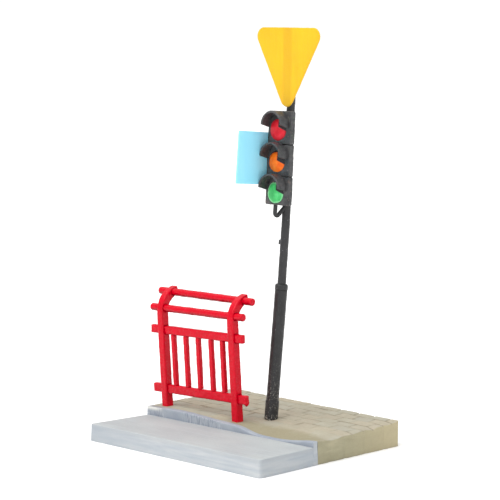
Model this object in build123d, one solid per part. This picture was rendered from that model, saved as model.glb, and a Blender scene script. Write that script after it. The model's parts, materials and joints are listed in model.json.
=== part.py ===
from build123d import *
import os
import math

# H0 street-corner set: a three-aspect traffic signal on a stepped mast, with a
# blank give-way sign and a blank plate, beside a guard rail on a kerb and
# paving base.
#
# All the driving dimensions are full-size centimetres. CM turns them into
# model millimetres at the H0 scale of 1:87.
# Frame: +X along the kerb, +Y from the road to the paving, +Z up. The origin is
# the centre of the base's underside.

os.makedirs("parts", exist_ok=True)

SCALE = 87.0
CM = 10.0 / SCALE
CLEAR = 0.03 / CM          # 0.03 mm running clearance, in full-size cm

# ---- base -------------------------------------------------------------
BASE_X = 236.0             # along the kerb
BASE_Y = 204.0             # road edge to back of paving
ROAD_Y = 75.5              # width of the road strip
ROAD_T = 17.6              # thickness of the road slab
KERB_W = 5.8               # kerb, front to back
PAVE_Z0 = 23.1             # paving height at the front right corner
PAVE_SLOPE_X = -0.0145     # rise per cm along X
PAVE_SLOPE_Y = 0.0186      # rise per cm along Y
RAMP_Y = 34.0              # depth of the ramp behind the dropped kerb
EDGE_R = 1.3               # worn edges of the road slab
ROAD_DRAFT = 3.0           # degrees, outer sides of the road slab
ROAD_FLARE_L = 4.4         # the road's front corners stand out a little past
ROAD_FLARE_R = 1.0         # the kerb's ends
# height of the kerb's top at stations along X, measured from the base's centre
KERB_TOP = [(-118.0, 26.5), (-98.0, 26.9), (-77.0, 27.5), (-58.0, 27.2), (-37.0, 26.2),
            (-14.0, 24.9), (8.0, 24.1), (19.0, 22.9), (28.0, 20.7), (41.0, 18.7),
            (56.0, 18.2), (70.0, 18.3), (82.0, 19.1), (94.0, 20.6), (106.0, 22.2), (118.0, 23.1)]

# ---- mast -------------------------------------------------------------
MAST_X, MAST_Y = 18.1, 19.0        # foot on the paving
LEAN_DIR = math.radians(44.2)      # heading of the lean, from +X towards +Y
SLEEVE_LEAN = 4.15                 # degrees
MID_LEAN = 3.46
TOP_LEAN = 2.08
BEND_1, BEND_2 = 138.0, 202.0      # heights of the two slight bends
MAST_TOP = 384.0
POLE_D = 8.6
SLEEVE_D = 12.7
SLEEVE_H = 138.0
FOOT_D = 13.8
FOOT_H = 19.0
RING_H = 6.0
PEG = 15.0                         # the part of the sleeve inside the base
BORE_FLOOR = 20.0                  # bottom of the sleeve's bore

# ---- signal head (local frame: pole axis, faces -Y) ---------------------
HEAD_MID = 264.1                   # height of the head's middle
MOD_W = 31.2
MOD_X = 0.7                        # the head sits a little to the right of the pole
MODULES = [33.0, 31.3, 28.4]         # heights of the three lamp boxes, top to bottom
MOD_GAP = 0.35
FACE_Y = -15.8
BACK_Y = -8.6
LENS_Z = [28.0, -3.2, -34.4]       # lens centres above and below the head's middle
LENS_X = -1.2
LENS_R = 10.7
LENS_DOME = 1.7
VISOR_R = 13.9
VISOR_X = -0.9
VISOR_T = 2.1
VISOR_L = 11.6
VISOR_UP = 4.8                     # hood's centre above the lens centre

# ---- sign and plate -----------------------------------------------------
SIGN_SIDE = 100.8
SIGN_R = 9.0
SIGN_T = 1.6
SIGN_TOP = 393.1                   # height of the top edge
SIGN_ROLL = 0.7                    # right end down
SIGN_YAW = -2.5                    # the face turns a little to the left
SIGN_PITCH = 2.4                   # the top leans forward
SIGN_X, SIGN_OUT = 0.4, 1.95       # shift along the face, gap in front of the pole
PLATE_H = 52.2
PLATE_Y0 = -57.2                   # outer edge
PLATE_Y1 = -4.0                    # edge beside the pole
PLATE_T = 1.5
PLATE_MID = 263.3
PLATE_TILT = 1.7

# ---- guard rail (local frame: left post's foot) ---------------------------
RAIL_X, RAIL_Y = -101.8, -12.0
RAIL_LEAN = 3.5                    # towards the road
RAIL_ROLL = 0.85                   # right end up
POST_X, POST_Y = 8.3, 9.3
POST_GAP = 102.8                   # post to post
POST_STRAIGHT = 98.5
POST_ARC_R = 21.5
POST_ARC = 84.0
POST_TAIL = 0.6                    # straight end past the top bar
POST_SKEW = 0.75                   # the bars drop to the right, so the posts differ
POST_PEG = 14.0
# bars: (height, thickness) or diameter, level, offset from the posts, tilt, ends
TOP_BAR = (7.9, 118.5, 14.5, -1.1, -16.9, 118.6)
SECOND_BAR = (7.8, 103.9, 1.2, -0.53, -16.4, 117.7)
UPPER_FLAT = (8.7, 5.0, 81.7, -0.05, -16.6, 117.2)
LOWER_FLAT = (9.2, 5.0, 19.4, 0.35, -17.7, 118.4)
BALUSTER = 4.8
BALUSTERS = [15.2, 33.5, 51.8, 70.4, 86.8]


def paving_z(x, y):
    """Height of the paving's plane, x and y from the base's centre."""
    return PAVE_Z0 + PAVE_SLOPE_X * (x - BASE_X / 2) + PAVE_SLOPE_Y * (y - (ROAD_Y + KERB_W - BASE_Y / 2))


def put(name, shape):
    """Scale from full-size cm to model mm and write the node's STEP."""
    s = scale(Compound(list(shape.solids())), by=CM)
    s = only(s)
    s.label = name
    export_step(s, f"parts/{name}.step")
    return s


def only(shape):
    """The single solid of a boolean's result."""
    sol = shape.solids()
    return sol[0] if len(sol) == 1 else Compound(sol)


def turn(shape, axis_dir, deg):
    return shape.rotate(Axis((0, 0, 0), axis_dir), deg)


# ================= base =================
hx, hy = BASE_X / 2, BASE_Y / 2
kerb_y0 = ROAD_Y - hy
kerb_y1 = kerb_y0 + KERB_W
ramp_y = kerb_y1 + RAMP_Y

outline = Polyline((-hx - ROAD_FLARE_L, -hy), (hx + ROAD_FLARE_R, -hy), (hx, kerb_y0), (hx - 0.2, kerb_y0 + 20),
                   (-hx + 0.2, kerb_y0 + 20), (-hx, kerb_y0), close=True)
road = extrude(make_face(outline), amount=ROAD_T, taper=ROAD_DRAFT)
road = only(road - Pos(0, kerb_y0 + 50, 20) * Box(400, 100, 100))
uprights = [e for e in road.edges() if (e @ 0.5).Y < -hy + 3 and abs((e @ 0).Z - (e @ 1).Z) > ROAD_T / 2]
road = fillet(uprights, 2.2)
top_edges = [e for e in road.edges().group_by(Axis.Z)[-1] if (e @ 0.5).Y < kerb_y0 - 0.5]
road = fillet(top_edges, EDGE_R)


def profile_face(points, y):
    """Closed face in the plane Y = y, with a smooth top through the points."""
    pts = [Vector(px, y, pz) for px, pz in points]
    top = Edge.make_spline(pts)
    a, b = pts[0], pts[-1]
    e1 = Edge.make_line(Vector(b.X, y, b.Z), Vector(b.X, y, 0))
    e2 = Edge.make_line(Vector(b.X, y, 0), Vector(a.X, y, 0))
    e3 = Edge.make_line(Vector(a.X, y, 0), Vector(a.X, y, a.Z))
    return Face(Wire([top, e1, e2, e3]))


kerb = extrude(profile_face(KERB_TOP, kerb_y0), amount=KERB_W, dir=(0, 1, 0))
kerb = only(kerb)

plane_line = [(x, paving_z(x, ramp_y)) for x, _ in KERB_TOP]
ramp = Solid.make_loft([profile_face(KERB_TOP, kerb_y1).outer_wire(),
                        profile_face(plane_line, ramp_y).outer_wire()], ruled=True)
# the block behind the ramp follows the same plane up to the back edge
back = Pos(0, (ramp_y + hy) / 2, 20) * Box(BASE_X, hy - ramp_y, 40)
z00, z10, z01 = paving_z(0, 0), paving_z(1, 0), paving_z(0, 1)
nrm = Vector(-(z10 - z00), -(z01 - z00), 1).normalized()
pave_plane = Plane(origin=(0, 0, z00), z_dir=nrm, x_dir=(1, 0, z10 - z00))
over = pave_plane * (Pos(0, 0, 50) * Box(600, 600, 100))
back = back - over
paving = only(ramp + back)

# ---- frames of the mast ----
lean_v = Vector(math.cos(LEAN_DIR), math.sin(LEAN_DIR), 0)
lean_axis = (-lean_v.Y, lean_v.X, 0)
foot = Vector(MAST_X, MAST_Y, paving_z(MAST_X, MAST_Y))


def mast_point(h):
    s = math.tan(math.radians(SLEEVE_LEAN)) * min(h, BEND_1)
    s += math.tan(math.radians(MID_LEAN)) * max(0, min(h, BEND_2) - BEND_1)
    s += math.tan(math.radians(TOP_LEAN)) * max(0, h - BEND_2)
    return foot + lean_v * s + Vector(0, 0, h)


def on_sleeve(shape):
    """From the sleeve's own frame (axis +Z, foot at 0) to the row frame."""
    return turn(shape, lean_axis, SLEEVE_LEAN).translate(foot)


def on_top(shape, h):
    """From the head's frame (pole axis +Z, at height h) to the row frame."""
    return turn(shape, lean_axis, TOP_LEAN).translate(mast_point(h))


sleeve_dir = Vector(0, 0, 1).rotate(Axis((0, 0, 0), lean_axis), SLEEVE_LEAN)


def cyl(d, z0, z1):
    return Pos(0, 0, (z0 + z1) / 2) * Cylinder(d / 2, z1 - z0)


# ---- frame of the rail ----
rail_o = Vector(RAIL_X, RAIL_Y, paving_z(RAIL_X, RAIL_Y))


def on_rail(shape):
    s = turn(shape, (0, 1, 0), -RAIL_ROLL)
    s = turn(s, (1, 0, 0), RAIL_LEAN)
    return s.translate(rail_o)


rail_dir = Vector(0, 0, 1).rotate(Axis((0, 0, 0), (0, 1, 0)), -RAIL_ROLL).rotate(Axis((0, 0, 0), (1, 0, 0)), RAIL_LEAN)
right_drop = -3.2                  # the paving lies lower at the right post

# ---- sockets in the paving ----
socket = on_sleeve(cyl(SLEEVE_D + 2 * CLEAR, -PEG - CLEAR, 30))
paving = paving - socket
for s0, dz in ((0.0, 0.0), (POST_GAP, right_drop)):
    hole = Pos(s0, 0, (-POST_PEG + dz - CLEAR + 40) / 2) * Box(
        POST_X + 2 * CLEAR, POST_Y + 2 * CLEAR, 40 + POST_PEG - dz + CLEAR)
    paving = paving - on_rail(hole)
paving = only(paving)

put("road_slab", road)
put("kerb", kerb)
put("paving_slab", paving)

# ================= mast foot =================
bore = POLE_D + 2 * CLEAR
sleeve = cyl(SLEEVE_D, -PEG, SLEEVE_H - RING_H) - cyl(bore, BORE_FLOOR, SLEEVE_H + 5)
put("mast_sleeve", only(on_sleeve(sleeve)))

foot_ring = cyl(FOOT_D, -5, FOOT_H) - cyl(SLEEVE_D, -10, FOOT_H + 5)
foot_ring = chamfer(foot_ring.edges().group_by(Axis.Z)[-1].filter_by(GeomType.CIRCLE).sort_by(SortBy.RADIUS)[-1], 0.5)
foot_ring = on_sleeve(foot_ring)
lift = Plane(origin=foot + nrm * CLEAR, z_dir=nrm, x_dir=(1, 0, z10 - z00))
foot_ring = foot_ring & (lift * (Pos(0, 0, 50) * Box(100, 100, 100)))
put("mast_foot_collar", only(foot_ring))

ring = cyl(SLEEVE_D + 0.5, SLEEVE_H - RING_H, SLEEVE_H) - cyl(bore, SLEEVE_H - 20, SLEEVE_H + 5)
ring = chamfer(ring.edges().group_by(Axis.Z)[-1].filter_by(GeomType.CIRCLE).sort_by(SortBy.RADIUS)[-1], 1.2)
put("sleeve_top_ring", only(on_sleeve(ring)))

# ================= pole =================


def bend(p_in, p, p_out, r):
    """Tangent arc of radius r at p: start, middle, end."""
    a = (p_in - p).normalized()
    b = (p_out - p).normalized()
    half = a.get_angle(b) / 2
    t = r / math.tan(math.radians(half))
    bis = (a + b).normalized()
    mid = p + bis * (r / math.sin(math.radians(half)) - r)
    return p + a * t, mid, p + b * t


p0 = mast_point(0) + sleeve_dir * (BORE_FLOOR + CLEAR)
p1, p2, p3 = mast_point(BEND_1 + 4), mast_point(BEND_2), mast_point(MAST_TOP)
a0, am, a1 = bend(p0, p1, p2, 500)
b0, bm, b1 = bend(a1, p2, p3, 700)
path = Wire([Edge.make_line(p0, a0), Edge.make_three_point_arc(a0, am, a1),
             Edge.make_line(a1, b0), Edge.make_three_point_arc(b0, bm, b1), Edge.make_line(b1, p3)])
section = Plane(origin=p0, z_dir=(a0 - p0).normalized()) * Circle(POLE_D / 2)
pole = only(sweep(section, path=path))
put("mast_pole", pole)

# ================= signal head =================
colours = ["red", "amber", "green"]
head_high = sum(MODULES) / 2 + MOD_GAP
for i, colour in enumerate(colours):
    MOD_H = MODULES[i]
    zc = head_high - sum(MODULES[:i]) - i * MOD_GAP - MOD_H / 2
    body = Pos(MOD_X, (FACE_Y + BACK_Y) / 2, zc) * Box(MOD_W, BACK_Y - FACE_Y, MOD_H)
    back_edges = body.edges().filter_by(Axis.Z).group_by(Axis.Y)[-1]
    body = fillet(back_edges, 2.6)
    front_edges = body.edges().filter_by(Axis.Z).group_by(Axis.Y)[0]
    body = fillet(front_edges, 0.7)
    rims = [e for e in body.edges() if abs((e @ 0.5).Z - zc) > MOD_H / 2 - 0.01]
    body = chamfer(rims, 0.45)
    # waist between the modules, deepest at the back corners
    for up in (1, -1):
        for side in (1, -1):
            notch = Pos(MOD_X + side * (MOD_W / 2 + 0.4), BACK_Y - 0.6, zc + up * (MOD_H / 2)) * Rot(0, 45, 0) * Box(3.4, 8.0, 3.4)
            body = body - notch
    lz = LENS_Z[i]
    # shallow seat for the lens
    seat = Pos(LENS_X, FACE_Y + 0.6, lz) * Rot(90, 0, 0) * Cylinder(LENS_R, 1.2)
    body = body - seat
    put(f"{colour}_housing", only(on_top(body, HEAD_MID)))

    # domed lens filling the seat
    rs = (LENS_R ** 2 + LENS_DOME ** 2) / (2 * LENS_DOME)
    disc = Pos(LENS_X, FACE_Y + 0.6, lz) * Rot(90, 0, 0) * Cylinder(LENS_R, 1.2)
    ball = Pos(LENS_X, FACE_Y - LENS_DOME + rs, lz) * Sphere(rs)
    slab = Pos(LENS_X, FACE_Y - 5, lz) * Rot(90, 0, 0) * Cylinder(LENS_R, 10)
    lens = disc + (ball & slab)
    put(f"{colour}_lens", only(on_top(lens, HEAD_MID)))

    # half-round hood, its lower edges rising towards the rim
    vz = lz + VISOR_UP
    tube = Pos(VISOR_X, FACE_Y - VISOR_L / 2, vz) * Rot(90, 0, 0) * (
        Cylinder(VISOR_R, VISOR_L) - Cylinder(VISOR_R - VISOR_T, VISOR_L + 1))
    cut = Pos(0, FACE_Y - VISOR_L / 2, vz - 20 - 2.9) * Box(60, VISOR_L + 10, 40)
    cut = cut.rotate(Axis((0, FACE_Y, vz - 2.9), (1, 0, 0)), -14)
    hood = tube - cut
    tips = [e for e in hood.edges() if (e @ 0.5).Y < FACE_Y - VISOR_L + 0.01]
    hood = fillet(tips, 0.45)
    put(f"{colour}_visor", only(on_top(hood, HEAD_MID)))

# brackets between the pole and the head's back
for nm, dz in (("upper_head_bracket", 33.0), ("lower_head_bracket", -33.0)):
    z = dz
    arm = Pos(0, BACK_Y / 2, z) * Box(9.0, -BACK_Y, 5.0)
    clamp_ring = Pos(0, 0, z) * Cylinder(POLE_D / 2 + 0.7, 5.0)
    br = (arm + clamp_ring) - (Pos(0, 0, z) * Cylinder(POLE_D / 2, 12.0))
    put(nm, only(on_top(br, HEAD_MID)))

# cable loop under the head: down from the lamp box, round and up into the pole
rod = 4.3
head_low = -head_high
loop_pts = [Vector(-2.8, -13.2, head_low), Vector(-2.8, -13.6, head_low - 9.4), Vector(-2.3, -10.4, head_low - 11.4),
            Vector(-0.3, -2.6, head_low - 2.6)]
l0, lm, l1 = bend(loop_pts[0], loop_pts[1], loop_pts[2], 2.6)
m0, mm, m1 = bend(l1, loop_pts[2], loop_pts[3], 2.3)
lp = Wire([Edge.make_line(loop_pts[0], l0), Edge.make_three_point_arc(l0, lm, l1), Edge.make_line(l1, m0),
           Edge.make_three_point_arc(m0, mm, m1), Edge.make_line(m1, loop_pts[3])])
loop = sweep(Plane(origin=loop_pts[0], z_dir=(l0 - loop_pts[0]).normalized()) * Circle(rod / 2), path=lp)
loop = on_top(loop, HEAD_MID) - pole
loop = max(loop.solids(), key=lambda q: q.volume)
put("cable_loop", loop)

# small clip on the pole below the loop
clip = Pos(-POLE_D / 2 - 0.6, 0, 0) * Box(3.4, 3.6, 4.8)
clip = fillet(clip.edges().filter_by(Axis.Y), 0.9)
clip = turn(clip, lean_axis, MID_LEAN).translate(mast_point(179.5)) - pole
put("cable_clip", only(clip))

# ================= give-way sign =================
tri_h = SIGN_SIDE * math.sqrt(3) / 2
tri = Polyline((-SIGN_SIDE / 2, 0), (SIGN_SIDE / 2, 0), (0, -tri_h), close=True)
tri = make_face(tri)
tri = fillet(tri.vertices(), SIGN_R)
sign_y1 = -POLE_D / 2                # front of the pole


def on_sign(shape):
    """From the sign's own frame to the row frame."""
    c = (0, sign_y1, -tri_h / 2)
    q = shape.rotate(Axis(c, (0, 1, 0)), SIGN_ROLL).rotate(Axis(c, (1, 0, 0)), SIGN_PITCH)
    q = q.translate((SIGN_X, -SIGN_OUT, 0)).rotate(Axis((0, 0, 0), (0, 0, 1)), SIGN_YAW)
    return on_top(q, SIGN_TOP)


sign = extrude(Plane(origin=(0, sign_y1, 0), x_dir=(1, 0, 0), z_dir=(0, -1, 0)) * tri, amount=SIGN_T)
rim = [e for e in sign.edges() if (e @ 0.5).Y < sign_y1 - SIGN_T + 0.01]
sign = chamfer(rim, 0.3)
put("sign_plate", only(on_sign(sign)))
in_front = on_sign(Pos(0, sign_y1 - 50, -tri_h / 2) * Box(300, 100, 300))
for nm, dz in (("upper_sign_clip", -17.0), ("lower_sign_clip", -52.0)):
    band = Pos(0, 0, dz) * Cylinder(POLE_D / 2 + 1.1, 4.5)
    ears = Pos(0, sign_y1 - 1.2, dz) * Box(13.0, 6.4, 4.5)
    c = on_top((band + ears) - Pos(0, 0, dz) * Cylinder(POLE_D / 2, 8), SIGN_TOP) - in_front - pole
    put(nm, max(c.solids(), key=lambda q: q.volume))

# ================= blue plate on the head's left side =================
px = MOD_X - MOD_W / 2 - PLATE_T / 2
plate = Pos(px, (PLATE_Y0 + PLATE_Y1) / 2, 0) * Box(PLATE_T, PLATE_Y1 - PLATE_Y0, PLATE_H)
plate = fillet(plate.edges().filter_by(Axis.X), 0.9)
plate = plate.rotate(Axis((0, (PLATE_Y0 + PLATE_Y1) / 2, 0), (1, 0, 0)), -PLATE_TILT)
put("side_plate", only(on_top(plate, PLATE_MID)))
for nm, dz in (("upper_plate_arm", 14.0), ("lower_plate_arm", -14.0)):
    arm = Pos((MOD_X - MOD_W / 2) / 2, -5.2, dz) * Box(MOD_W / 2 - MOD_X, 3.0, 3.4)
    arm = arm - Pos(0, 0, dz) * Cylinder(POLE_D / 2, 12)
    arm = on_top(max(arm.solids(), key=lambda q: q.volume), PLATE_MID) - pole
    put(nm, max(arm.solids(), key=lambda q: q.volume))

# ================= guard rail =================


def round_bar(spec):
    d, t, off, tilt, s0, s1 = spec
    b = Cylinder(d / 2, s1 - s0)
    ends = b.edges().filter_by(GeomType.CIRCLE)
    b = fillet(ends, 0.9)
    b = Rot(0, 90, 0) * b
    b = Pos((s0 + s1) / 2 - POST_GAP / 2, 0, 0) * b
    b = b.rotate(Axis((0, 0, 0), (0, 1, 0)), -tilt)
    return Pos(POST_GAP / 2, off, t) * b


def flat_bar(spec):
    h, th, t, tilt, s0, s1 = spec
    b = Box(s1 - s0, th, h)
    b = fillet(b.edges().filter_by(Axis.X), 0.9)
    b = Pos((s0 + s1) / 2 - POST_GAP / 2, 0, 0) * b
    b = b.rotate(Axis((0, 0, 0), (0, 1, 0)), -tilt)
    return Pos(POST_GAP / 2, 0, t) * b


bars = {"top_rail_bar": round_bar(TOP_BAR), "second_rail_bar": round_bar(SECOND_BAR),
        "upper_flat_bar": flat_bar(UPPER_FLAT), "lower_flat_bar": flat_bar(LOWER_FLAT)}


def post(s0, dz, top):
    z0 = -POST_PEG + dz
    arc = math.radians(POST_ARC)
    c = Vector(s0, POST_ARC_R, top)
    q0 = Vector(s0, 0, z0)
    q1 = Vector(s0, 0, top)
    qm = c + Vector(0, -math.cos(arc / 2), math.sin(arc / 2)) * POST_ARC_R
    q2 = c + Vector(0, -math.cos(arc), math.sin(arc)) * POST_ARC_R
    q3 = q2 + Vector(0, math.sin(arc), math.cos(arc)) * POST_TAIL
    w = Wire([Edge.make_line(q0, q1), Edge.make_three_point_arc(q1, qm, q2), Edge.make_line(q2, q3)])
    sec = Plane(origin=q0, x_dir=(1, 0, 0), z_dir=(0, 0, 1)) * RectangleRounded(POST_X, POST_Y, 0.9)
    return only(sweep(sec, path=w))


posts = {"left_rail_post": post(0.0, 0.0, POST_STRAIGHT + POST_SKEW),
         "right_rail_post": post(POST_GAP, right_drop, POST_STRAIGHT - POST_SKEW)}
for nm, p in posts.items():
    for b in bars.values():
        p = p - b
    put(nm, only(on_rail(p)))
for nm, b in bars.items():
    put(nm, only(on_rail(b)))
for i, s in enumerate(BALUSTERS):
    b = Pos(s, 0, (UPPER_FLAT[2] + LOWER_FLAT[2]) / 2) * Box(BALUSTER, BALUSTER, UPPER_FLAT[2] - LOWER_FLAT[2])
    b = fillet(b.edges().filter_by(Axis.Z), 0.5)
    b = b - bars["upper_flat_bar"] - bars["lower_flat_bar"]
    put(f"baluster_{i + 1}", only(on_rail(max(b.solids(), key=lambda q: q.volume))))

mp = mast_point(0)
print("mast foot mm", [round(v * CM, 4) for v in (mp.X, mp.Y, mp.Z)], "axis", [round(v, 6) for v in sleeve_dir])
print("rail foot mm", [round(v * CM, 4) for v in rail_o], "axis", [round(v, 6) for v in rail_dir])
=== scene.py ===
import bpy
import bmesh
import json
import math
import random
from mathutils import Matrix, Vector, noise


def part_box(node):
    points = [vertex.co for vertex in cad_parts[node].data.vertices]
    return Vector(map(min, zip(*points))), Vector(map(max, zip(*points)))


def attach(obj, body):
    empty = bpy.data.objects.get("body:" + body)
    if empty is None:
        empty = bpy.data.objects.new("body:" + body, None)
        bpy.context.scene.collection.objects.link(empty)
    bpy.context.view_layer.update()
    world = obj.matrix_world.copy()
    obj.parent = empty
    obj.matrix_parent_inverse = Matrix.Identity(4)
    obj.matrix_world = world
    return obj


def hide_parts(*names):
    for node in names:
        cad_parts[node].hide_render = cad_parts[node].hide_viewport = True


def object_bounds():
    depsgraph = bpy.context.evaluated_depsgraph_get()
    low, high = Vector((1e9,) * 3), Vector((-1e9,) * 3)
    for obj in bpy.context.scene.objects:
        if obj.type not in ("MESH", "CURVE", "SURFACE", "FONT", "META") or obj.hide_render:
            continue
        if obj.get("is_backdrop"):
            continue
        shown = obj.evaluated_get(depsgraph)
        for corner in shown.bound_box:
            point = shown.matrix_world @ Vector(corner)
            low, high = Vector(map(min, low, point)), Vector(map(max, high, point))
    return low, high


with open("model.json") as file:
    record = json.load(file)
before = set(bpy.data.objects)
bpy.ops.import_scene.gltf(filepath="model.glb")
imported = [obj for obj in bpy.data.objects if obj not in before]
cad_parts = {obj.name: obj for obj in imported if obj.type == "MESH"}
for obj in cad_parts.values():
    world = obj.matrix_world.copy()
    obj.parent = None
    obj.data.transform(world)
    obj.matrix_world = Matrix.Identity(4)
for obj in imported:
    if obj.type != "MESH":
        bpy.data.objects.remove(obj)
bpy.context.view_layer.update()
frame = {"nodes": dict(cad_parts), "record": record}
scene = bpy.context.scene

CM = 1.0 / 8700.0          # one full-size centimetre in metres at 1:87
WORLD, KEY, SOFT, SIDE = 0.66, 1.8, 0.85, 0.75
NODES = frame["nodes"]

# ------------------------------------------------------------------ camera
cam_data = bpy.data.cameras.new("camera")
cam = bpy.data.objects.new("camera", cam_data)
scene.collection.objects.link(cam)
scene.camera = cam
AZ, PITCH, ROLL, F_PX = 0.7709917, 0.0925233, 0.0044367, 1650.0
CAM = Vector((1033.6715 + 118.0, -1077.3293 - 102.0, 350.0508)) * CM
fwd = Vector((-math.sin(AZ) * math.cos(PITCH), math.cos(AZ) * math.cos(PITCH), -math.sin(PITCH)))
right = fwd.cross(Vector((0, 0, 1))).normalized()
up = right.cross(fwd)
r2 = right * math.cos(ROLL) + up * math.sin(ROLL)
u2 = -right * math.sin(ROLL) + up * math.cos(ROLL)
rot = Matrix((r2, u2, -fwd)).transposed()
cam.matrix_world = Matrix.Translation(CAM) @ rot.to_4x4()
cam_data.sensor_width = 36.0
cam_data.lens = F_PX / 500.0 * 36.0
cam_data.clip_start = 0.01
cam_data.clip_end = 10.0

# ------------------------------------------------------------------ materials


def srgb(r, g, b):
    def f(v):
        v /= 255.0
        return v / 12.92 if v <= 0.04045 else ((v + 0.055) / 1.055) ** 2.4
    return (f(r), f(g), f(b), 1.0)


class Mat:
    """Small builder for a node material. Coordinates are full-size centimetres."""

    def __init__(self, name, rough=0.5, spec=0.5, coat=0.0, coat_rough=0.1):
        self.m = bpy.data.materials.new(name)
        self.m.use_nodes = True
        self.t = self.m.node_tree
        self.t.nodes.clear()
        self.out = self.n("ShaderNodeOutputMaterial")
        self.b = self.n("ShaderNodeBsdfPrincipled")
        self.l(self.b.outputs[0], self.out.inputs[0])
        self.b.inputs["Roughness"].default_value = rough
        self.b.inputs["Specular IOR Level"].default_value = spec
        self.b.inputs["Coat Weight"].default_value = coat
        self.b.inputs["Coat Roughness"].default_value = coat_rough
        self.m.diffuse_color = (0.5, 0.5, 0.5, 1.0)
        tc = self.n("ShaderNodeTexCoord")
        sc = self.n("ShaderNodeVectorMath")
        sc.operation = "SCALE"
        sc.inputs["Scale"].default_value = 1.0 / CM
        self.l(tc.outputs["Object"], sc.inputs[0])
        self.co = sc.outputs[0]
        self.geo = self.n("ShaderNodeNewGeometry")

    def n(self, kind):
        return self.t.nodes.new(kind)

    def l(self, a, b):
        self.t.links.new(a, b)

    def mapped(self, scale=(1, 1, 1), loc=(0, 0, 0), rot=(0, 0, 0)):
        m = self.n("ShaderNodeMapping")
        m.inputs["Scale"].default_value = scale
        m.inputs["Location"].default_value = loc
        m.inputs["Rotation"].default_value = rot
        self.l(self.co, m.inputs[0])
        return m.outputs[0]

    def noise(self, scale=(1, 1, 1), loc=(0, 0, 0), detail=4.0, rough=0.55, dist=0.0, rot=(0, 0, 0)):
        t = self.n("ShaderNodeTexNoise")
        t.inputs["Scale"].default_value = 1.0
        t.inputs["Detail"].default_value = detail
        t.inputs["Roughness"].default_value = rough
        t.inputs["Distortion"].default_value = dist
        self.l(self.mapped(scale, loc, rot), t.inputs["Vector"])
        return t.outputs["Fac"]

    def voronoi(self, scale=(1, 1, 1), loc=(0, 0, 0), feature="F1", out="Distance"):
        t = self.n("ShaderNodeTexVoronoi")
        t.feature = feature
        t.inputs["Scale"].default_value = 1.0
        self.l(self.mapped(scale, loc), t.inputs["Vector"])
        return t.outputs[out]

    def ramp(self, fac, stops):
        r = self.n("ShaderNodeValToRGB")
        els = r.color_ramp.elements
        while len(els) < len(stops):
            els.new(0.5)
        for e, (p, c) in zip(els, stops):
            e.position = p
            e.color = c if hasattr(c, "__len__") else (c, c, c, 1)
        self.l(fac, r.inputs[0])
        return r.outputs[0]

    def math(self, op, a, b=None, c=None, clamp=False):
        m = self.n("ShaderNodeMath")
        m.operation = op
        m.use_clamp = clamp
        for i, v in enumerate((a, b, c)):
            if v is None:
                continue
            if isinstance(v, (int, float)):
                m.inputs[i].default_value = v
            else:
                self.l(v, m.inputs[i])
        return m.outputs[0]

    def mix(self, fac, a, b, blend="MIX"):
        m = self.n("ShaderNodeMix")
        m.data_type = "RGBA"
        m.blend_type = blend
        for s, v in ((m.inputs[0], fac), (m.inputs[6], a), (m.inputs[7], b)):
            if hasattr(v, "is_linked") or hasattr(v, "links"):
                self.l(v, s)
            elif isinstance(v, (int, float)):
                s.default_value = v
            else:
                s.default_value = v
        return m.outputs[2]

    def sep(self, v=None):
        s = self.n("ShaderNodeSeparateXYZ")
        self.l(self.co if v is None else v, s.inputs[0])
        return s.outputs

    def color(self, c):
        self.l(c, self.b.inputs["Base Color"])

    def rough(self, r):
        self.l(r, self.b.inputs["Roughness"])

    def bump(self, h, strength=0.5, dist=1.0):
        b = self.n("ShaderNodeBump")
        b.inputs["Strength"].default_value = strength
        b.inputs["Distance"].default_value = dist * CM
        self.l(h, b.inputs["Height"])
        self.l(b.outputs[0], self.b.inputs["Normal"])
        return b


def black_paint(name, tone=1.0, flecks=False):
    m = Mat(name, rough=0.42, spec=0.4)
    big = m.noise((0.09, 0.09, 0.05), detail=3)
    fine = m.noise((0.9, 0.9, 0.35), detail=5)
    streak = m.noise((0.7, 0.7, 0.03), loc=(4, 2, 0), detail=3)
    c = m.ramp(big, [(0.3, srgb(31 * tone, 31 * tone, 32 * tone)), (0.7, srgb(48 * tone, 48 * tone, 49 * tone))])
    c = m.mix(m.ramp(fine, [(0.45, 0.0), (0.75, 0.45)]), c, srgb(66, 66, 68))
    c = m.mix(m.ramp(streak, [(0.5, 0.0), (0.8, 0.4)]), c, srgb(30, 29, 32))
    dots = m.noise((0.5, 0.5, 0.5), loc=(31, 5, 2), detail=1)
    c = m.mix(m.ramp(dots, [(0.72, 0.0), (0.76, 0.7)]), c, srgb(118, 120, 126))
    if flecks:
        z = m.sep()[2]
        low = m.ramp(m.math("DIVIDE", z, 100.0), [(0.25, 0.9), (0.31, 0.22), (0.42, 0.2), (0.5, 0.55), (0.62, 0.12), (1.0, 0.0)])
        sp = m.noise((0.85, 0.85, 0.6), loc=(3, 8, 1), detail=2)
        mask = m.math("MULTIPLY", m.ramp(sp, [(0.585, 0.0), (0.62, 1.0)]), low)
        c = m.mix(mask, c, srgb(190, 186, 176))
    m.color(c)
    m.rough(m.ramp(fine, [(0.3, 0.30), (0.7, 0.55)]))
    h = m.math("ADD", m.math("MULTIPLY", big, 1.2), m.math("MULTIPLY", fine, 0.35))
    m.bump(h, 0.5, 1.0)
    return m.m


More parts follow.
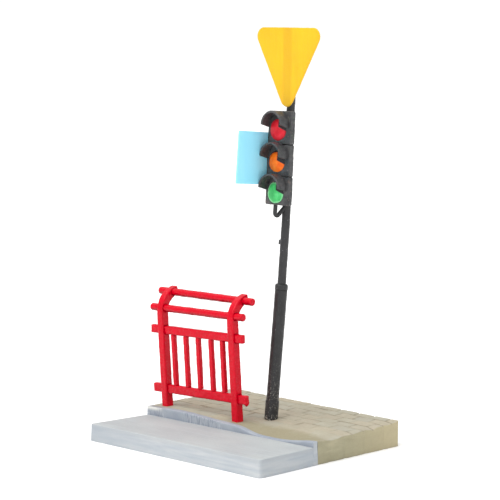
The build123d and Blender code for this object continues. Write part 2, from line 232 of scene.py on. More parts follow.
def head_paint():
    m = Mat("head_black_paint", rough=0.4, spec=0.45)
    big = m.noise((0.12, 0.12, 0.12), detail=3)
    fine = m.noise((0.8, 0.8, 0.8), detail=5)
    c = m.ramp(big, [(0.3, srgb(46, 46, 48)), (0.7, srgb(74, 74, 75))])
    c = m.mix(m.ramp(fine, [(0.5, 0.0), (0.8, 0.5)]), c, srgb(98, 98, 99))
    spot = m.noise((0.34, 0.34, 0.34), loc=(7, 3, 9), detail=2)
    c = m.mix(m.ramp(spot, [(0.64, 0.0), (0.69, 0.55)]), c, srgb(120, 96, 84))
    spot2 = m.noise((0.42, 0.42, 0.42), loc=(17, 30, 2), detail=2)
    c = m.mix(m.ramp(spot2, [(0.66, 0.0), (0.70, 0.5)]), c, srgb(96, 118, 92))
    m.color(c)
    m.rough(m.ramp(fine, [(0.3, 0.28), (0.7, 0.55)]))
    h = m.math("ADD", m.math("MULTIPLY", big, 1.3), m.math("MULTIPLY", fine, 0.5))
    m.bump(h, 0.6, 1.1)
    return m.m


def red_paint():
    m = Mat("rail_red_enamel", rough=0.3, spec=0.1, coat=0.16, coat_rough=0.05)
    big = m.noise((0.12, 0.12, 0.12), detail=3)
    fine = m.noise((0.35, 0.35, 0.35), detail=3)
    c = m.ramp(big, [(0.3, srgb(193, 0, 27)), (0.7, srgb(207, 0, 34))])
    c = m.mix(m.ramp(fine, [(0.5, 0.0), (0.8, 0.4)]), c, srgb(173, 0, 21))
    # painted shade: the downward-facing surfaces, the undersides and lower rims of the bars, are mixed towards a
    # darker red
    z = m.sep(m.geo.outputs["Normal"])[2]
    painted_underside_shade = m.ramp(m.math("ADD", m.math("MULTIPLY", z, -0.5), 0.5), [(0.55, 0.0), (0.85, 0.7)])
    c = m.mix(painted_underside_shade, c, srgb(127, 0, 11))
    m.color(c)
    m.rough(m.ramp(fine, [(0.3, 0.16), (0.75, 0.36)]))
    h = m.math("ADD", m.math("MULTIPLY", big, 1.4), m.math("MULTIPLY", fine, 0.3))
    m.bump(h, 0.6, 1.2)
    return m.m


def lens_paint(name, main, light, dark, cx, cz, radius, rim, drop=0.0, seed=0.0):
    """Enamel dabbed on the lens, ragged at its edge, with the black body colour round it."""
    m = Mat(name, rough=0.4, spec=0.3)
    x, y, z = m.sep()
    dx = m.math("SUBTRACT", x, cx)
    dz = m.math("SUBTRACT", z, cz - drop)
    wob = m.math("MULTIPLY", m.math("SUBTRACT", m.noise((0.15, 0.15, 0.15), loc=(seed, 2.0 * seed, 0), detail=3), 0.5), 4.4)
    px = m.math("POWER", m.math("ABSOLUTE", dx), 2.5)
    pz = m.math("POWER", m.math("ABSOLUTE", dz), 2.5)
    d = m.math("POWER", m.math("ADD", px, pz), 0.4)
    d = m.math("ADD", d, wob)
    inside = m.ramp(m.math("DIVIDE", d, 16.0), [((radius - 0.35) / 16.0, 1.0), ((radius + 0.35) / 16.0, 0.0)])
    # the dab is cut off in its upper part towards +x, under the hood, where the dark body colour shows
    a = m.math("ADD", dx, m.math("ADD", -1.6, m.math("MULTIPLY", wob, 0.6)))
    b = m.math("ADD", dz, m.math("ADD", -3.6, m.math("MULTIPLY", dx, 0.45)))
    cut = m.math("MINIMUM", a, b)
    keep = m.ramp(m.math("ADD", m.math("MULTIPLY", cut, 0.1), 0.5), [(0.47, 1.0), (0.53, 0.0)])
    mask = m.math("MULTIPLY", inside, keep)
    big = m.noise((0.16, 0.16, 0.16), loc=(cx, 0, 0), detail=2)
    fine = m.noise((0.8, 0.8, 0.8), detail=4)
    c = m.ramp(big, [(0.3, dark), (0.55, main), (0.75, light)])
    c = m.mix(m.ramp(fine, [(0.4, 0.0), (0.8, 0.3)]), c, light)
    edge = m.ramp(m.math("DIVIDE", d, 16.0), [((radius - 2.2) / 16.0, 0.0), ((radius - 0.8) / 16.0, 1.0)])
    c = m.mix(m.math("MULTIPLY", edge, 0.55), c, rim)
    dark_c = m.ramp(fine, [(0.3, srgb(28, 26, 28)), (0.7, srgb(48, 44, 46))])
    m.color(m.mix(mask, dark_c, c))
    m.bump(m.math("ADD", m.math("MULTIPLY", mask, 0.6), m.math("MULTIPLY", m.math("ADD", big, m.math("MULTIPLY", fine, 0.4)), 0.8)), 0.5, 0.8)
    return m.m


def sign_paint():
    m = Mat("sign_yellow_paint", rough=0.45, spec=0.4)
    big = m.noise((0.045, 0.045, 0.02), detail=3)
    st = m.noise((0.35, 0.35, 0.03), detail=4)
    c = m.ramp(big, [(0.3, srgb(233, 172, 0)), (0.7, srgb(238, 181, 2))])
    c = m.mix(m.ramp(st, [(0.45, 0.0), (0.75, 0.5)]), c, srgb(239, 187, 5))
    # a faint darker upright band, slightly slanted, runs down the middle of the plate
    x, y, z = m.sep()
    band = m.math("ABSOLUTE", m.math("SUBTRACT", x, m.math("ADD", m.math("MULTIPLY", z, 0.026), 22.5)))
    c = m.mix(m.ramp(m.math("DIVIDE", band, 12.0), [(0.35, 0.55), (0.62, 0.0)]), c, srgb(196, 157, 0))
    m.color(c)
    m.bump(m.math("ADD", m.math("MULTIPLY", big, 0.8), m.math("MULTIPLY", st, 0.3)), 0.35, 0.8)
    return m.m


def plate_paint():
    m = Mat("plate_blue_paint", rough=0.45, spec=0.4)
    big = m.noise((0.05, 0.05, 0.03), detail=3)
    st = m.noise((0.3, 0.3, 0.04), detail=4)
    c = m.ramp(big, [(0.3, srgb(148, 224, 248)), (0.7, srgb(154, 228, 251))])
    c = m.mix(m.ramp(st, [(0.5, 0.0), (0.8, 0.3)]), c, srgb(164, 232, 252))
    m.color(c)
    m.bump(m.math("ADD", m.math("MULTIPLY", big, 0.6), m.math("MULTIPLY", st, 0.2)), 0.3, 0.6)
    return m.m


def road_paint():
    m = Mat("road_grey_paint", rough=0.62, spec=0.35)
    x, y, z = m.sep()
    nx, ny, nzc = m.sep(m.geo.outputs["Normal"])
    top = m.ramp(nzc, [(0.45, 0.0), (0.85, 1.0)])
    big = m.noise((0.02, 0.03, 0.05), detail=3)
    brush = m.noise((0.012, 0.28, 0.3), detail=4)
    c_top = m.ramp(big, [(0.35, srgb(164, 168, 170)), (0.65, srgb(173, 177, 177))])
    c_top = m.mix(m.ramp(brush, [(0.45, 0.0), (0.8, 0.45)]), c_top, srgb(182, 189, 192))
    side_n = m.noise((0.02, 0.02, 0.22), loc=(5, 5, 5), detail=5, dist=0.4)
    c_side = m.ramp(side_n, [(0.32, srgb(159, 166, 174)), (0.5, srgb(172, 177, 181)), (0.68, srgb(183, 186, 187))])
    rim = m.ramp(m.math("DIVIDE", z, 17.6), [(0.72, 0.0), (0.92, 0.55)])
    c_side = m.mix(rim, c_side, srgb(163, 165, 167))
    worn = m.math("MULTIPLY", m.ramp(m.math("DIVIDE", m.math("ADD", x, 118.0), 90.0), [(0.0, 0.55), (1.0, 0.0)]),
                  m.ramp(m.math("MULTIPLY", ny, -1.0), [(0.4, 0.0), (0.8, 1.0)]))
    c_side = m.mix(worn, c_side, srgb(150, 157, 164))
    # painted shade: the faces turned towards +X are mixed towards a darker blue-grey
    painted_right_side_shade = m.ramp(nx, [(0.5, 0.0), (0.8, 0.30)])
    c_side = m.mix(painted_right_side_shade, c_side, srgb(138, 146, 154))
    c = m.mix(top, c_side, c_top)
    fine = m.noise((0.5, 0.5, 0.5), detail=5)
    c = m.mix(m.ramp(fine, [(0.55, 0.0), (0.85, 0.35)]), c, srgb(163, 167, 172))
    m.color(c)
    m.rough(m.ramp(fine, [(0.3, 0.52), (0.7, 0.72)]))
    h = m.math("ADD", m.math("MULTIPLY", brush, 0.9), m.math("MULTIPLY", fine, 0.35))
    h = m.math("ADD", h, m.math("MULTIPLY", side_n, 0.8))
    m.bump(h, 0.5, 0.7)
    return m.m


def kerb_paint():
    m = Mat("kerb_blue_grey_paint", rough=0.6, spec=0.3)
    x, y, z = m.sep()
    nx, ny, nzc = m.sep(m.geo.outputs["Normal"])
    up = m.ramp(nzc, [(0.6, 0.0), (0.9, 1.0)])
    big = m.noise((0.05, 0.05, 0.08), detail=3)
    c = m.ramp(big, [(0.35, srgb(147, 154, 165)), (0.65, srgb(159, 165, 173))])
    # two stretches scratched with fine upright strokes
    tick = m.noise((1.7, 1.7, 0.09), loc=(2, 9, 1), detail=3)

    def stretch(a, w):
        t = m.math("DIVIDE", m.math("ABSOLUTE", m.math("SUBTRACT", x, a)), w)
        return m.ramp(t, [(0.6, 1.0), (1.0, 0.0)])
    zones = m.math("ADD", stretch(-104.0, 18.0), stretch(-34.0, 34.0), clamp=True)
    zones = m.math("MULTIPLY", zones, m.math("SUBTRACT", 1.0, up))
    c = m.mix(m.math("MULTIPLY", m.ramp(tick, [(0.54, 0.0), (0.60, 0.8)]), zones), c, srgb(193, 196, 200))
    c = m.mix(m.math("MULTIPLY", m.ramp(tick, [(0.40, 0.85), (0.46, 0.0)]), zones), c, srgb(104, 111, 125))
    # worn end on the left: pale rim and a dark strip along the top
    left = m.ramp(m.math("DIVIDE", m.math("ADD", x, 118.0), 30.0), [(0.45, 1.0), (0.85, 0.0)])
    c = m.mix(m.math("MULTIPLY", m.math("MULTIPLY", left, up), 0.8), c, srgb(142, 143, 142))
    pale = m.math("MULTIPLY", left, m.ramp(m.math("DIVIDE", z, 27.0), [(0.82, 0.0), (0.92, 0.95)]))
    c = m.mix(m.math("MULTIPLY", pale, m.math("SUBTRACT", 1.0, up)), c, srgb(212, 212, 206))
    low = m.ramp(m.math("DIVIDE", m.math("SUBTRACT", z, 17.6), 6.0), [(0.0, 0.3), (0.35, 0.0)])
    c = m.mix(low, c, srgb(128, 137, 154))
    # the cut end takes the road's own colour
    end = m.ramp(nx, [(0.5, 0.0), (0.8, 1.0)])
    side_n = m.noise((0.03, 0.03, 0.22), loc=(5, 5, 5), detail=4)
    c = m.mix(end, c, m.ramp(side_n, [(0.32, srgb(155, 162, 170)), (0.5, srgb(166, 171, 176)), (0.68, srgb(175, 179, 181))]))
    m.color(c)
    fine = m.noise((0.5, 0.5, 0.5), detail=5)
    m.rough(m.ramp(fine, [(0.3, 0.5), (0.7, 0.7)]))
    m.bump(m.math("ADD", m.math("MULTIPLY", m.math("MULTIPLY", tick, zones), 0.9), m.math("MULTIPLY", fine, 0.4)), 0.5, 0.6)
    return m.m


def paving_paint():
    m = Mat("paving_beige_paint", rough=0.68, spec=0.3)
    x, y, z = m.sep()
    nx, ny, nzc = m.sep(m.geo.outputs["Normal"])
    top = m.ramp(nzc, [(0.35, 0.0), (0.75, 1.0)])
    at = m.n("ShaderNodeAttribute")
    at.attribute_name = "tone"
    jt, rnd, fade = m.sep(at.outputs["Vector"])
    big = m.noise((0.025, 0.03, 0.05), detail=3)
    fine = m.noise((0.35, 0.35, 0.35), detail=6)
    mott = m.noise((0.09, 0.12, 0.1), loc=(3, 1, 4), detail=4)
    c = m.ramp(big, [(0.35, srgb(159, 153, 136)), (0.65, srgb(169, 164, 147))])
    c = m.mix(m.ramp(rnd, [(0.0, 0.0), (1.0, 0.42)]), c, srgb(175, 169, 146))
    hue = m.math("FRACT", m.math("MULTIPLY", rnd, 7.31))
    c = m.mix(m.ramp(hue, [(0.3, 0.26), (0.42, 0.0)]), c, srgb(160, 160, 150))
    c = m.mix(m.ramp(hue, [(0.6, 0.0), (0.74, 0.26)]), c, srgb(177, 161, 138))
    c = m.mix(m.ramp(mott, [(0.45, 0.0), (0.7, 0.5)]), c, srgb(154, 148, 129))
    # olive wash where the kerb drops
    sx = m.math("DIVIDE", m.math("SUBTRACT", x, 58.0), 84.0)
    sy = m.math("DIVIDE", m.math("ADD", y, 13.0), 19.0)
    blob = m.math("ADD", m.math("MULTIPLY", sx, sx), m.math("MULTIPLY", sy, sy))
    blob = m.math("ADD", blob, m.math("MULTIPLY", m.math("SUBTRACT", mott, 0.5), 1.6))
    c = m.mix(m.ramp(blob, [(0.25, 0.8), (1.0, 0.0)]), c, srgb(142, 134, 107))
    c = m.mix(m.math("MULTIPLY", jt, 0.88), c, srgb(103, 97, 79))
    # walls: olive in front, paler behind, with slanting knife marks
    diag = m.math("ADD", m.math("MULTIPLY", z, 1.0), m.math("MULTIPLY", y, -0.22))
    cut = m.noise((0.03, 0.03, 0.12), loc=(1, 2, 3), detail=5, dist=0.8)
    side = m.ramp(cut, [(0.3, srgb(143, 138, 113)), (0.55, srgb(153, 148, 122)), (0.75, srgb(167, 159, 133))])
    back = m.ramp(m.math("DIVIDE", m.math("ADD", y, 20.0), 122.0), [(0.3, 0.0), (0.95, 0.75)])
    side = m.mix(back, side, srgb(179, 167, 135))
    c = m.mix(top, side, c)
    c = m.mix(m.ramp(fine, [(0.55, 0.0), (0.85, 0.4)]), c, srgb(149, 141, 122))
    m.color(c)
    m.rough(m.ramp(fine, [(0.3, 0.58), (0.7, 0.78)]))
    h = m.math("ADD", m.math("MULTIPLY", mott, 0.8), m.math("MULTIPLY", fine, 0.6))
    h = m.math("ADD", h, m.math("MULTIPLY", cut, 0.6))
    m.bump(h, 0.5, 0.7)
    return m.m


def lens_centre(node):
    lo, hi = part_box(node)
    return (lo[0] + hi[0]) / 2 / CM, (lo[2] + hi[2]) / 2 / CM


black = black_paint("mast_black_paint")
sleeve_black = black_paint("sleeve_black_paint", 0.82, True)
head_black = head_paint()
red = red_paint()
yellow = sign_paint()
blue = plate_paint()
rc, ac, gc = (lens_centre(n) for n in ("red_lens", "amber_lens", "green_lens"))
lens_r = lens_paint("lens_red_paint", srgb(218, 26, 42), srgb(230, 56, 70), srgb(196, 14, 32), rc[0], rc[1], 10.6, srgb(170, 14, 30), 0.0, 3.0)
lens_a = lens_paint("lens_amber_paint", srgb(252, 118, 16), srgb(255, 142, 44), srgb(236, 92, 6), ac[0], ac[1], 10.6, srgb(226, 92, 14), 1.8, 11.0)
lens_g = lens_paint("lens_green_paint", srgb(62, 186, 98), srgb(96, 208, 128), srgb(46, 164, 84), gc[0], gc[1], 10.3, srgb(156, 216, 170), 0.2, 21.0)
road = road_paint()
kerbm = kerb_paint()
paving = paving_paint()

# ------------------------------------------------------------------ shape helpers
bodies_of = {}
for body, names in frame["record"]["behaviour"]["bodies"].items():
    for nm in names:
        bodies_of[nm] = body


def dress(obj, material):
    obj.data.materials.clear()
    obj.data.materials.append(material)


def nz(x, y, z=0.0):
    return noise.noise(Vector((x, y, z)))


def fbm(x, y, z=0.0, octaves=3):
    return noise.fractal(Vector((x, y, z)), 0.7, 2.1, octaves)


def smooth01(t):
    t = max(0.0, min(1.0, t))
    return t * t * (3 - 2 * t)


def stations(a, b, step, fine=()):
    """Grid lines from a to b, finer at the ends."""
    v = {round(a + f, 4) for f in fine} | {round(b - f, 4) for f in fine} | {a, b}
    lo = a + (max(fine) if fine else 0.0)
    hi = b - (max(fine) if fine else 0.0)
    n = max(1, int((hi - lo) / step))
    v |= {round(lo + (hi - lo) * k / n, 4) for k in range(n + 1)}
    return sorted(v)


def slab(name, xs, ys, top, edge_r, rounded, corner, shape, side, tones, material, node):
    """Closed block: a fine top sheet, rounded rims, walls with brush and knife
    marks, and a flat underside. Coordinates are full-size cm."""
    x0, x1, y0, y1 = xs[0], xs[-1], ys[0], ys[-1]
    nx, ny = len(xs), len(ys)
    verts, grid, val = [], [], []
    for j, y in enumerate(ys):
        for i, x in enumerate(xs):
            px, py = x, y
            for cx, cy, sx, sy, rc in corner:
                dx, dy = (x - cx) * sx, (y - cy) * sy
                if dx > 0 and dy > 0:
                    d, q = max(dx, dy), math.hypot(dx, dy)
                    px, py = cx + sx * dx / q * d, cy + sy * dy / q * d
            dist = []
            if "l" in rounded:
                dist.append(x - x0)
            if "r" in rounded:
                dist.append(x1 - x)
            if "f" in rounded:
                dist.append(y - y0)
            if "b" in rounded:
                dist.append(y1 - y)
            d = min(dist)
            dz = 0.0
            if d < edge_r:
                dz = edge_r - math.sqrt(max(0.0, edge_r ** 2 - (edge_r - d) ** 2))
            z = top(px, py)
            qx, qy = shape(px, py)
            verts.append((qx, qy, z - dz))
            val.append(tones(px, py, 0.0))
    loop = [i for i in range(nx)]
    loop += [j * nx + nx - 1 for j in range(1, ny)]
    loop += [(ny - 1) * nx + i for i in range(nx - 2, -1, -1)]
    loop += [j * nx for j in range(ny - 2, 0, -1)]
    faces = []
    for j in range(ny - 1):
        for i in range(nx - 1):
            a = j * nx + i
            faces.append((a, a + 1, a + nx + 1, a + nx))
    n = len(loop)
    prev = loop
    for t in (0.08, 0.2, 0.34, 0.48, 0.62, 0.76, 0.88, 0.96, 1.0):
        ring = []
        for k, v in enumerate(loop):
            p = Vector(verts[v])
            a = Vector(verts[loop[k - 1]])
            b = Vector(verts[loop[(k + 1) % n]])
            tan = Vector((b.x - a.x, b.y - a.y, 0)).normalized()
            out = Vector((tan.y, -tan.x, 0))
            z = p.z * (1 - t)
            o = side(p, out, z, t)
            ring.append(len(verts))
            verts.append((p.x + out.x * o, p.y + out.y * o, z))
            val.append(tones(p.x, p.y, 1.0))
        for k in range(n):
            k2 = (k + 1) % n
            faces.append((prev[k], ring[k], ring[k2], prev[k2]))
        prev = ring
    faces.append(tuple(reversed(prev)))
    me = bpy.data.meshes.new(name)
    me.from_pydata([(v[0] * CM, v[1] * CM, v[2] * CM) for v in verts], [], faces)
    me.update()
    bm = bmesh.new()
    bm.from_mesh(me)
    lay = bm.verts.layers.float_color.new("tone")
    bm.verts.ensure_lookup_table()
    for v, t in zip(bm.verts, val):
        v[lay] = (t[0], t[1], t[2], 1.0)
    bmesh.ops.recalc_face_normals(bm, faces=bm.faces)
    for f in bm.faces:
        f.smooth = len(f.verts) <= 4
    bm.to_mesh(me)
    bm.free()
    ob = bpy.data.objects.new(name, me)
    scene.collection.objects.link(ob)
    me.materials.append(material)
    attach(ob, "base")
    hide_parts(node)
    return ob


def painted(node, material, voxel=0.6, smooth=4, amp=0.12, freq=0.12, seed=0.0, drips=()):
    """The same piece with the soft edges and uneven skin of hand-brushed paint."""
    src = NODES[node]
    me = src.data.copy()
    me.transform(Matrix.Scale(1.0 / CM, 4))
    ob = bpy.data.objects.new(node + "_painted", me)
    scene.collection.objects.link(ob)
    rm = ob.modifiers.new("remesh", "REMESH")
    rm.mode = "VOXEL"
    rm.voxel_size = voxel
    if smooth:
        sm = ob.modifiers.new("smooth", "SMOOTH")
        sm.factor = 0.5
        sm.iterations = smooth
    dg = bpy.context.evaluated_depsgraph_get()
    new = bpy.data.meshes.new_from_object(ob.evaluated_get(dg))
    ob.modifiers.clear()
    ob.data = new
    bpy.data.meshes.remove(me)
    lo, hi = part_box(node)
    lo = [v / CM for v in lo]
    hi = [v / CM for v in hi]
    normals = [v.normal.copy() for v in new.vertices]
    for v, nn in zip(new.vertices, normals):
        c = v.co
        d = amp * (fbm(c.x * freq + seed, c.y * freq, c.z * freq, 3) + 0.35 * nz(c.x * freq * 5, c.y * freq * 5 + seed, c.z * freq * 5))
        p = c + nn * d
        v.co = [max(a, min(b, q)) for q, a, b in zip(p, lo, hi)]
    for q, r, length in drips:
        q = Vector(q)
        for v in new.vertices:
            d = (v.co - q).length
            if d < r and v.normal.z < 0.3:
                v.co.z -= length * smooth01(1 - d / r)
    new.transform(Matrix.Scale(CM, 4))
    for f in new.polygons:
        f.use_smooth = True
    new.update()
    dress(ob, material)
    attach(ob, bodies_of[node])
    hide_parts(node)
    return ob


# ------------------------------------------------------------------ base
KT = [(-118.0, 26.5), (-98.0, 26.9), (-77.0, 27.5), (-58.0, 27.2), (-37.0, 26.2), (-14.0, 24.9), (8.0, 24.1),
      (19.0, 22.9), (28.0, 20.7), (41.0, 18.7), (56.0, 18.2), (70.0, 18.3), (82.0, 19.1), (94.0, 20.6),
      (106.0, 22.2), (118.0, 23.1)]


def kerb_top(x):
    x = max(-117.999, min(117.999, x))
    for k in range(len(KT) - 1):
        if KT[k][0] <= x <= KT[k + 1][0]:
            break
    a, b = KT[k], KT[k + 1]
    p0 = KT[k - 1] if k > 0 else (2 * a[0] - b[0], 2 * a[1] - b[1])
    p3 = KT[k + 2] if k + 2 < len(KT) else (2 * b[0] - a[0], 2 * b[1] - a[1])
    h = b[0] - a[0]
    m1 = (b[1] - p0[1]) / (b[0] - p0[0]) * h
    m2 = (p3[1] - a[1]) / (p3[0] - a[0]) * h
    t = (x - a[0]) / h
    return ((2 * t ** 3 - 3 * t ** 2 + 1) * a[1] + (t ** 3 - 2 * t ** 2 + t) * m1
            + (-2 * t ** 3 + 3 * t ** 2) * b[1] + (t ** 3 - t ** 2) * m2)


KY0, KY1, RY = -26.5, -20.7, 13.3


def plane_z(x, y):
    return 23.1 - 0.0145 * (x - 118.0) + 0.0186 * (y - KY1)


ROWS = [-60.0, -1.0, 14.5, 30.0, 46.0, 61.0, 76.5, 90.5, 140.0]
JOINTS = [[-123.0 + 22.0 * k + (11.0 if r % 2 else 0.0) + 3.4 * nz(r * 3.7 + 0.3, k * 5.1 + 0.4, 0.5) for k in range(12)]
          for r in range(8)]
# where the broken outer rim is notched
NOTCH_Y = [-1.0, 19.6, 49.6, 79.0]
NOTCH_X = [-106, -82, -58, -34, -11, 13, 42.5, 66, 86]


def sett(x, y):
    """Joint depth 0..1 and the sett's own random tone."""
    xw = x + 0.9 * nz(x * 0.06, y * 0.06, 3.1)
    yw = y + 0.9 * nz(x * 0.05, y * 0.07, 7.7)
    r = 0
    while yw > ROWS[r + 1]:
        r += 1
    dr = min(abs(yw - ROWS[r]), abs(yw - ROWS[r + 1]))
    js = JOINTS[r]
    c = sum(1 for j in js if xw > j)
    dc = min(abs(xw - j) for j in js)
    d = min(dr, dc)
    w = 1.3 + 0.45 * nz(x * 0.11, y * 0.11, 9.0)
    j = 1.0 - smooth01(d / max(0.9, w))
    j *= 0.30 + 0.70 * smooth01(0.5 + 1.8 * nz(x * 0.06, y * 0.06, 1.5))
    # trodden flat behind the dropped kerb
    fade = smooth01((y - 2.0 - 9.0 * smooth01((x - 10.0) / 40.0)) / 14.0)
    if x < 5:
        fade = max(fade, smooth01((5.0 - x) / 20.0) * smooth01((y + 14.0) / 6.0))
    rnd = math.sin((r * 17.3 + c * 41.7) * 12.9898) * 43758.5453
    rnd = rnd - math.floor(rnd)
    return j * fade, rnd, fade, r * 31 + c


RIM = [(-20.7, 0.0), (-11.0, -1.4), (0.4, -2.5), (8.0, -2.0), (16.0, -1.1), (23.5, -1.3), (33.0, -1.2), (43.0, -0.6),
       (48.0, -0.6), (62.0, -1.9), (68.0, -0.6), (76.0, -0.4), (85.0, -1.1), (93.0, -1.1), (102.0, 0.0)]


def pave_top(x, y):
    if y < RY:
        t = (y - KY1) / (RY - KY1)
        t = t + 0.25 * (smooth01(t) - t)
        z = kerb_top(x) * (1 - t) + plane_z(x, RY) * t
    else:
        z = plane_z(x, y)
    j, rnd, fade, _ = sett(x, y)
    near = smooth01((y - KY1) / 3.0)
    # the right rim is worn down in an uneven line, lowest where the kerb drops
    k = 0
    while k < len(RIM) - 2 and y > RIM[k + 1][0]:
        k += 1
    t = smooth01((y - RIM[k][0]) / (RIM[k + 1][0] - RIM[k][0]))
    dip = RIM[k][1] * (1 - t) + RIM[k + 1][1] * t
    reach = 46.0 if y < 8 else 46.0 - 36.0 * smooth01((y - 8.0) / 14.0)
    dip *= smooth01(1.0 - (118.0 - x) / reach)
    rise = 0.55 * smooth01((y - 80.0) / 20.0)
    return z + near * (dip + rise - 1.0 * j + 0.6 * (rnd - 0.45) * fade + 0.16 * fbm(x * 0.09, y * 0.09, 2.0) + 0.05 * nz(x * 0.6, y * 0.6))


def pave_shape(x, y):
    # broken outer rim: each sett's end is a shallow bump
    kx = smooth01((abs(x) - 110.0) / 8.0)
    ky = smooth01((y - 94.0) / 8.0)
    notch_r = max(math.exp(-((y - r) / 2.6) ** 2) for r in NOTCH_Y)
    notch_b = max(math.exp(-((x - j) / 2.6) ** 2) for j in NOTCH_X)
    ix = kx * (0.25 + 0.75 * notch_r + 0.4 * (0.5 + 0.5 * nz(y * 0.14, x, 4.0)))
    iy = ky * (0.25 + 1.0 * notch_b + 0.4 * (0.5 + 0.5 * nz(x * 0.14, y, 8.0)))
    return x - math.copysign(ix, x), y - iy


def pave_side(p, out, z, t):
    # slanting knife marks and a slight undercut
    s = 0.5 + 0.5 * nz((p.x + p.y) * 0.05 + z * 0.10, z * 0.22, 6.0)
    return -(0.30 * s + 0.12 * (0.5 + 0.5 * nz(p.x * 0.3, p.y * 0.3, z * 0.5))) * min(1.0, t * 6)


def pave_tone(x, y, side):
    j, rnd, fade, _ = sett(x, y)
    return (0.0 if side else j, rnd if not side else 0.5, fade)


paving_ob = slab(
    "paving_block", stations(-118.0, 118.0, 0.8, (0.0, 0.2, 0.5, 0.9, 1.4, 2.0)),
    stations(KY1, 102.0, 0.6, (0.0, 0.2, 0.5, 0.9, 1.4, 2.0)),
    pave_top, 0.9, "lrb", [(116.5, 100.5, 1, 1, 1.5), (-116.5, 100.5, -1, 1, 1.5)],
    pave_shape, pave_side, pave_tone, paving, "paving_slab")


def kerb_z(x, y):
    return kerb_top(x) + 0.10 * fbm(x * 0.12, y * 0.3, 5.0) - 0.12


def kerb_side(p, out, z, t):
    if out.y > 0.5:
        return 0.0
    d = -(0.16 * (0.5 + 0.5 * fbm(p.x * 0.25, z * 0.12, 3.0)) + 0.06 * (0.5 + 0.5 * nz(p.x * 1.4, z * 0.3, 1.0)))
    return d + 1.11 * t if out.x > 0.5 else d


def kerb_shape(x, y):
    # the cut end slopes in line with the road's own end
    return x - 1.11 * max(0.0, (x - 112.0) / 6.0), y


kerb_ob = slab(
    "kerb_strip", stations(-118.0, 118.0, 0.7, (0.0, 0.15, 0.4, 0.8, 1.2)), stations(KY0, KY1, 0.5, (0.0, 0.15, 0.35, 0.6, 0.95, 1.3)),
    kerb_z, 1.15, "lrf", [], kerb_shape, kerb_side, lambda x, y, s: (0.0, 0.5, 1.0), kerbm, "kerb")


def road_xy(x, y):
    v = smooth01(0) + (y + 102.0) / 75.5
    lx = -122.4 + 4.4 * v + 0.95
    rx = 119.0 - 1.0 * v - 0.95
    u = (x + 119.0) / 237.0
    return lx + (rx - lx) * u, (-102.0 + 0.95) + (75.5 - 0.95) * v


def road_z(x, y):
    near = smooth01((KY0 - y) / 2.5)
    return 17.6 - 0.1 + 0.10 * fbm(x * 0.03, y * 0.05, 4.0) + 0.05 * nz(x * 0.1, y * 0.35, 2.0) - 0.12 * (1 - near)


def road_side(p, out, z, t):
    if out.y > 0.5:
        return 0.0
    return 0.85 * t - 0.16 * (0.5 + 0.5 * fbm(p.x * 0.06 + p.y * 0.06, z * 0.3, 1.0)) * min(1.0, t * 5) * (1.0 if t < 0.999 else 0.4)


road_ob = slab(
    "road_block", stations(-119.0, 118.0, 1.1, (0.0, 0.2, 0.5, 0.9, 1.4, 2.0)), stations(-102.0, KY0, 1.1, (0.0, 0.2, 0.5, 0.9, 1.4, 2.0)),
    road_z, 1.5, "lrf", [(114.2, -98.2, 1, -1, 3.8), (-117.2, -100.2, -1, -1, 1.8)],
    road_xy, road_side, lambda x, y, s: (0.0, 0.5, 1.0), road, "road_slab")

# ------------------------------------------------------------------ painted metalwork
for k, name in enumerate(("left_rail_post", "right_rail_post", "top_rail_bar", "second_rail_bar", "upper_flat_bar",
                          "lower_flat_bar", "baluster_1", "baluster_2", "baluster_3", "baluster_4", "baluster_5")):
    drips = ()
    if name == "lower_flat_bar":
        lo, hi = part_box(name)
        drips = (((hi[0] / CM - 1.2, (lo[1] + hi[1]) / 2 / CM, hi[2] / CM - 9.6), 3.0, 1.9),
                 ((lo[0] / CM + 25.5, (lo[1] + hi[1]) / 2 / CM - 2.0, hi[2] / CM - 11.6), 2.6, 0.8))
    painted(name, red, voxel=0.6, smooth=3, amp=0.20, freq=0.10, seed=k * 7.3, drips=drips)
for k, name in enumerate(("mast_sleeve", "mast_foot_collar", "sleeve_top_ring")):
    painted(name, sleeve_black, voxel=0.5 if k else 0.6, smooth=1 if k else 3, amp=0.14, freq=0.12, seed=k * 3.1)
pole_ob = painted("mast_pole", black, voxel=0.6, smooth=2, amp=0.16, freq=0.09, seed=40.0)
# the length hidden in the sleeve carries no paint, so the head turns freely
foot = Vector((18.1, 19.0, 25.29))
lean = Vector((0.051881, 0.050452, 0.997378))
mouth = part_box("sleeve_top_ring")[1][2] / CM
for v in pole_ob.data.vertices:
    p = v.co / CM
    off = p - (foot + lean * (p - foot).dot(lean))
    if off.length > 1.0:
        v.co = (p - off.normalized() * 0.25 * smooth01((mouth + 0.3 - p.z) / 1.2)) * CM
painted("cable_loop", black, voxel=0.45, smooth=2, amp=0.18, freq=0.22, seed=51.0)
painted("cable_clip", black, voxel=0.4, smooth=2, amp=0.12, freq=0.3, seed=52.0)
for k, name in enumerate(("red_housing", "amber_housing", "green_housing")):
    painted(name, head_black, voxel=0.5, smooth=3, amp=0.28, freq=0.13, seed=60 + k * 5.7)
for k, name in enumerate(("red_visor", "amber_visor", "green_visor")):
    painted(name, head_black, voxel=0.42, smooth=2, amp=0.22, freq=0.16, seed=80 + k * 5.7)
painted("sign_plate", yellow, voxel=0.5, smooth=2, amp=0.12, freq=0.12, seed=90.0)
painted("side_plate", blue, voxel=0.42, smooth=1, amp=0.06, freq=0.12, seed=95.0)
for name in ("red_lens", "amber_lens", "green_lens"):
    dress(NODES[name], {"red_lens": lens_r, "amber_lens": lens_a, "green_lens": lens_g}[name])
for name in ("upper_head_bracket", "lower_head_bracket", "upper_sign_clip", "lower_sign_clip", "upper_plate_arm",
             "lower_plate_arm"):
    painted(name, black, voxel=0.4, smooth=2, amp=0.08, freq=0.2, seed=99.0)

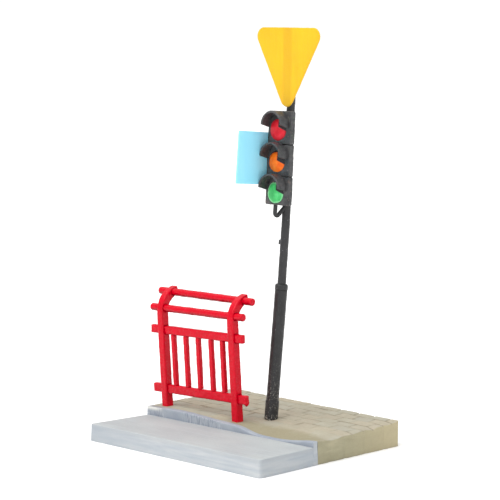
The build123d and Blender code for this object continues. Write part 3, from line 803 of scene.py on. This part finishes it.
# ------------------------------------------------------------------ stage
floor_mesh = bpy.data.meshes.new("floor")
bm = bmesh.new()
bmesh.ops.create_grid(bm, x_segments=1, y_segments=1, size=6.0)
bm.to_mesh(floor_mesh)
bm.free()
floor = bpy.data.objects.new("floor", floor_mesh)
floor.location = (0, 0, -0.00001)
scene.collection.objects.link(floor)
fm = bpy.data.materials.new("floor_pale")
fm.use_nodes = True
fm.node_tree.nodes["Principled BSDF"].inputs["Base Color"].default_value = (0.96, 0.96, 0.96, 1)
fm.node_tree.nodes["Principled BSDF"].inputs["Roughness"].default_value = 0.9
fm.node_tree.nodes["Principled BSDF"].inputs["Specular IOR Level"].default_value = 0.2
floor.data.materials.append(fm)
floor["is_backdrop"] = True


def area(name, loc, target, size, power, colour=(1, 1, 1)):
    d = bpy.data.lights.new(name, "AREA")
    d.shape = "DISK"
    d.size = size
    d.energy = power
    d.color = colour
    o = bpy.data.objects.new(name, d)
    scene.collection.objects.link(o)
    o.location = loc
    o.rotation_euler = (Vector(target) - Vector(loc)).to_track_quat("-Z", "Y").to_euler()
    return o


def sun(name, direction, strength, angle):
    d = bpy.data.lights.new(name, "SUN")
    d.energy = strength
    d.angle = math.radians(angle)
    o = bpy.data.objects.new(name, d)
    scene.collection.objects.link(o)
    o.rotation_euler = Vector(direction).to_track_quat("-Z", "Y").to_euler()
    return o


centre = Vector((0, 0, 0.022))
# soft key from above and the left of the view, a weaker one from above and behind
key_dir = (-right * 0.75 - fwd * 0.45 + Vector((0, 0, 1.15))).normalized()
sun("key", -key_dir, KEY, 50)
sun("soft_top", (0.15, -0.1, -1), SOFT, 90)
sun("soft_side", (-1.0, 0.25, -0.35), SIDE, 80)
# small lamp for the glints on the enamel
glint_dir = (-right * 0.35 - fwd * 0.75 + Vector((0, 0, 0.75))).normalized()
area("glint", centre + glint_dir * 0.5, centre, 0.05, 0.10)

world = bpy.data.worlds.new("world")
scene.world = world
world.use_nodes = True
wt = world.node_tree
bg = wt.nodes["Background"]
bg.inputs["Color"].default_value = (1, 1, 1, 1)
bg.inputs["Strength"].default_value = WORLD
# the plain studio backdrop seen behind the object is white
bg2 = wt.nodes.new("ShaderNodeBackground")
bg2.inputs["Color"].default_value = (1, 1, 1, 1)
bg2.inputs["Strength"].default_value = 1.05
lp = wt.nodes.new("ShaderNodeLightPath")
mixer = wt.nodes.new("ShaderNodeMixShader")
wt.links.new(lp.outputs["Is Camera Ray"], mixer.inputs[0])
wt.links.new(bg.outputs[0], mixer.inputs[1])
wt.links.new(bg2.outputs[0], mixer.inputs[2])
wt.links.new(mixer.outputs[0], wt.nodes["World Output"].inputs["Surface"])
scene.view_settings.view_transform = "Standard"
scene.view_settings.look = "None"

lo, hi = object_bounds()
